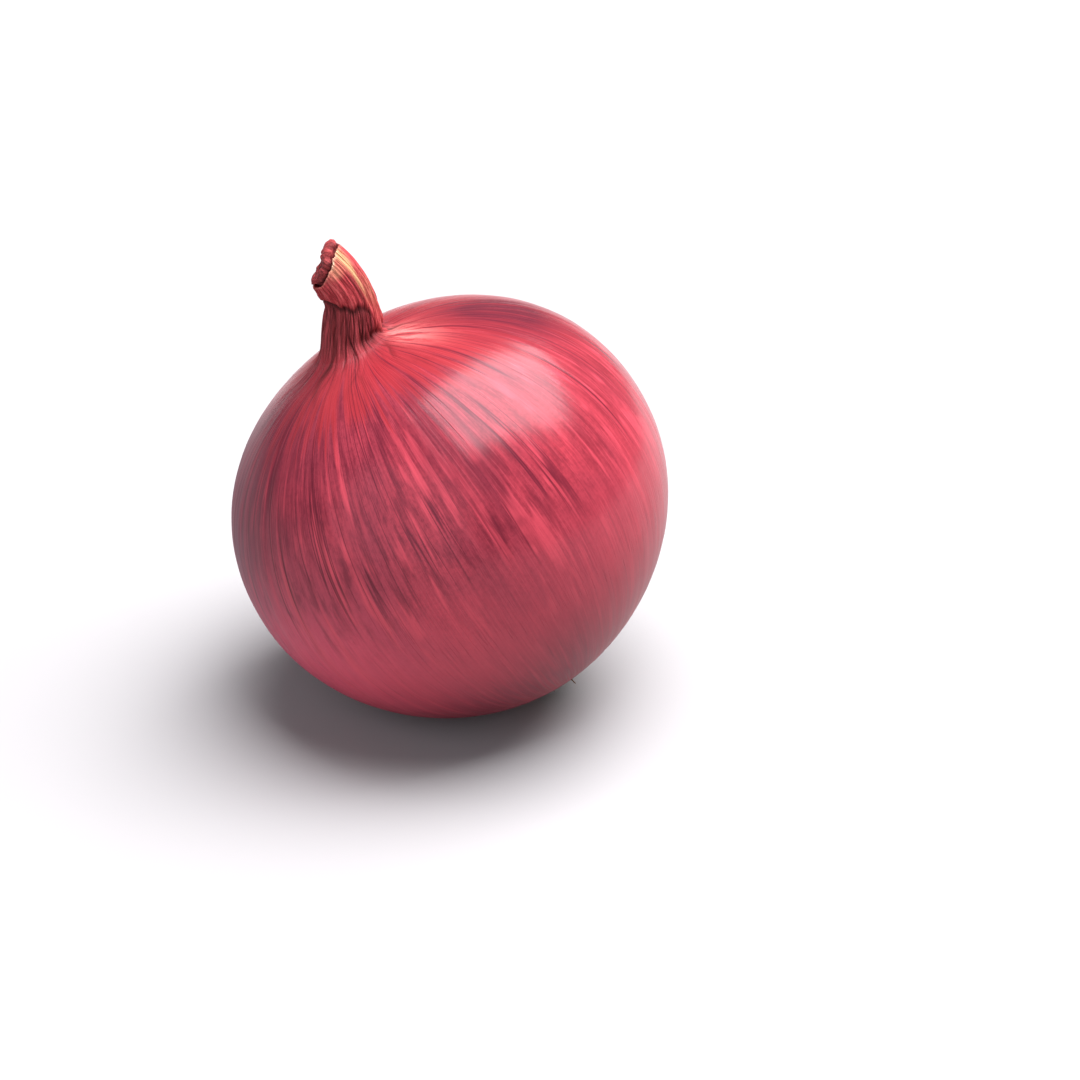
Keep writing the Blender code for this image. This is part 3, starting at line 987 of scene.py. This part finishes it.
def root_material(name, light, dark):
    """Dried root: straw brown with darker lengths and fine lines."""
    n = Nodes(name)
    patchy = n.noise(n.objects(), 700.0, 3.0, 0.6)
    fine = n.noise(n.objects(), 3200.0, 2.0, 0.6)
    colour = n.painted(
        n.mix(n.span(patchy, 0.35, 0.65), dark, light),
        (n.span(fine, 0.35, 0.60, 0.5, 0.0), dark),
    )
    return n.finish(colour, 0.82, 0.3, n.bump(n.plus(patchy, fine), 0.6, ROOT_RELIEF))


def floor_material():
    """Matt floor paint in two close tones, paler away from its middle."""
    n = Nodes("floor_paint")
    colour = n.mix(n.noise(n.objects(), 6.0, 2.0), FLOOR_TONE, FLOOR_TONE_HIGH)
    colour = n.mix(n.span(n.distance(), FLOOR_NEAR, FLOOR_FAR), colour, FLOOR_TONE_FAR)
    return n.finish(colour, 0.8, 0.2)


# ---------------------------------------------------------------- pieces

def build_skin():
    """The skin of the bulb and neck: one surface in two materials, less shiny on the neck.

    Marks are cut off at 1 as they are stored.
    """
    points, angle, path, length, latitude, wall = skin_grid()
    mesh = grid_mesh("onion_skin", points)
    add_flow(mesh, angle, length)
    marks = bulb_marks(angle, latitude) | neck_marks(angle, path, length, wall)
    for name, values in marks.items():
        add_number(mesh, name, np.minimum(values, 1.0))
    skin = piece("onion_skin", mesh, skin_material("onion_skin", SKIN_SHINE))
    mesh.materials.append(skin_material("neck_skin", NECK_SHINE))
    on_neck = np.repeat(path[:-1].mean(1) > NECK_FOOT, COLUMNS)
    slots = np.concatenate([on_neck, np.zeros(COLUMNS, bool), np.ones(COLUMNS, bool)])
    mesh.polygons.foreach_set("material_index", slots.astype(np.int32))
    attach(skin, "root")
    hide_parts("bulb")


def build_leaf_ends():
    """The crumpled leaf ends in the neck's mouth, and the curled stub in their middle."""
    material = leaf_material()
    for name, grid in (("leaf_ends", leaf_ends_grid()), ("leaf_stub", stub_grid())):
        points, turn, level, across = grid
        mesh = grid_mesh(name, points)
        add_flow(mesh, turn, level)
        add_number(mesh, "level", level)
        add_number(mesh, "tip", ease(across, -0.05, 0.40) * ease(level, 0.5, 0.9))
        leaf = piece(name, mesh, material)
        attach(leaf, "root")


def build_roots():
    """The trimmed root fibres and the corky plate that they stand on."""
    fibre = root_material("root_fibre", FIBRE_LIGHT, FIBRE_DARK)
    cork = root_material("root_cork", CORK_LIGHT, CORK_DARK)
    roots = tube_mesh("root_fibres", root_rings(*root_curves()))
    plate = grid_mesh("root_plate", plate_grid())
    for part in (piece("root_fibres", roots, fibre), piece("root_plate", plate, cork)):
        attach(part, "root")
        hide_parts("root_tuft")


# ---------------------------------------------------------------- stage, light, camera

def build_stage():
    """A flat floor, wide enough to fill the view."""
    corners = ((-1, -1), (1, -1), (1, 1), (-1, 1))
    mesh = bpy.data.meshes.new("floor")
    verts = [(x * FLOOR_HALF_SIDE, y * FLOOR_HALF_SIDE, -FLOOR_DROP) for x, y in corners]
    mesh.from_pydata(verts, [], [(0, 1, 2, 3)])
    floor = piece("floor", mesh, floor_material())


def softbox(name, towards, along, distance, size, power, tint):
    """A rectangular light, seen from the bulb towards a direction, its width along another."""
    ahead = Vector(towards).normalized()
    right = Vector(along) - ahead * Vector(along).dot(ahead)
    right.normalize()
    up = ahead.cross(right)
    data = bpy.data.lights.new(name, "AREA")
    data.shape = "RECTANGLE"
    data.size, data.size_y = size
    data.energy = power
    data.color = tint
    light = bpy.data.objects.new(name, data)
    turn = Matrix((right, up, ahead)).transposed()
    light.matrix_world = Matrix.Translation(resting_centre() + ahead * distance) @ turn.to_4x4()
    bpy.context.scene.collection.objects.link(light)


def build_lights():
    """A large softbox high on the right, a wide weak one at the front left, a plain room."""
    softbox("key_softbox", KEY_TOWARDS, KEY_ALONG, KEY_DISTANCE, KEY_SIZE, KEY_POWER, KEY_TINT)
    softbox("front_fill", FILL_TOWARDS, FILL_ALONG, FILL_DISTANCE, FILL_SIZE, FILL_POWER, FILL_TINT)
    world = bpy.data.worlds.new("studio")
    world.use_nodes = True
    background = world.node_tree.nodes["Background"]
    background.inputs["Color"].default_value = ROOM_TINT
    background.inputs["Strength"].default_value = ROOM_LIGHT
    bpy.context.scene.world = world


def build_camera():
    """The camera looks along +Y and down, with the bulb left of and above the view's middle."""
    back = Vector((0.0, -math.cos(CAMERA_TILT), math.sin(CAMERA_TILT)))
    up = Vector((0.0, math.sin(CAMERA_TILT), math.cos(CAMERA_TILT)))
    aim = resting_centre() + Vector((AIM_ASIDE, 0.0, 0.0)) - up * AIM_BELOW
    data = bpy.data.cameras.new("camera")
    data.lens = CAMERA_LENS
    data.sensor_width = SENSOR_WIDTH
    camera = bpy.data.objects.new("camera", data)
    turn = Matrix((Vector((1, 0, 0)), up, back)).transposed()
    camera.matrix_world = Matrix.Translation(aim + back * CAMERA_DISTANCE) @ turn.to_4x4()
    bpy.context.scene.collection.objects.link(camera)
    bpy.context.scene.camera = camera
    bpy.context.scene.view_settings.view_transform = "Standard"


build_camera()
build_stage()
build_lights()
build_skin()
build_leaf_ends()
build_roots()
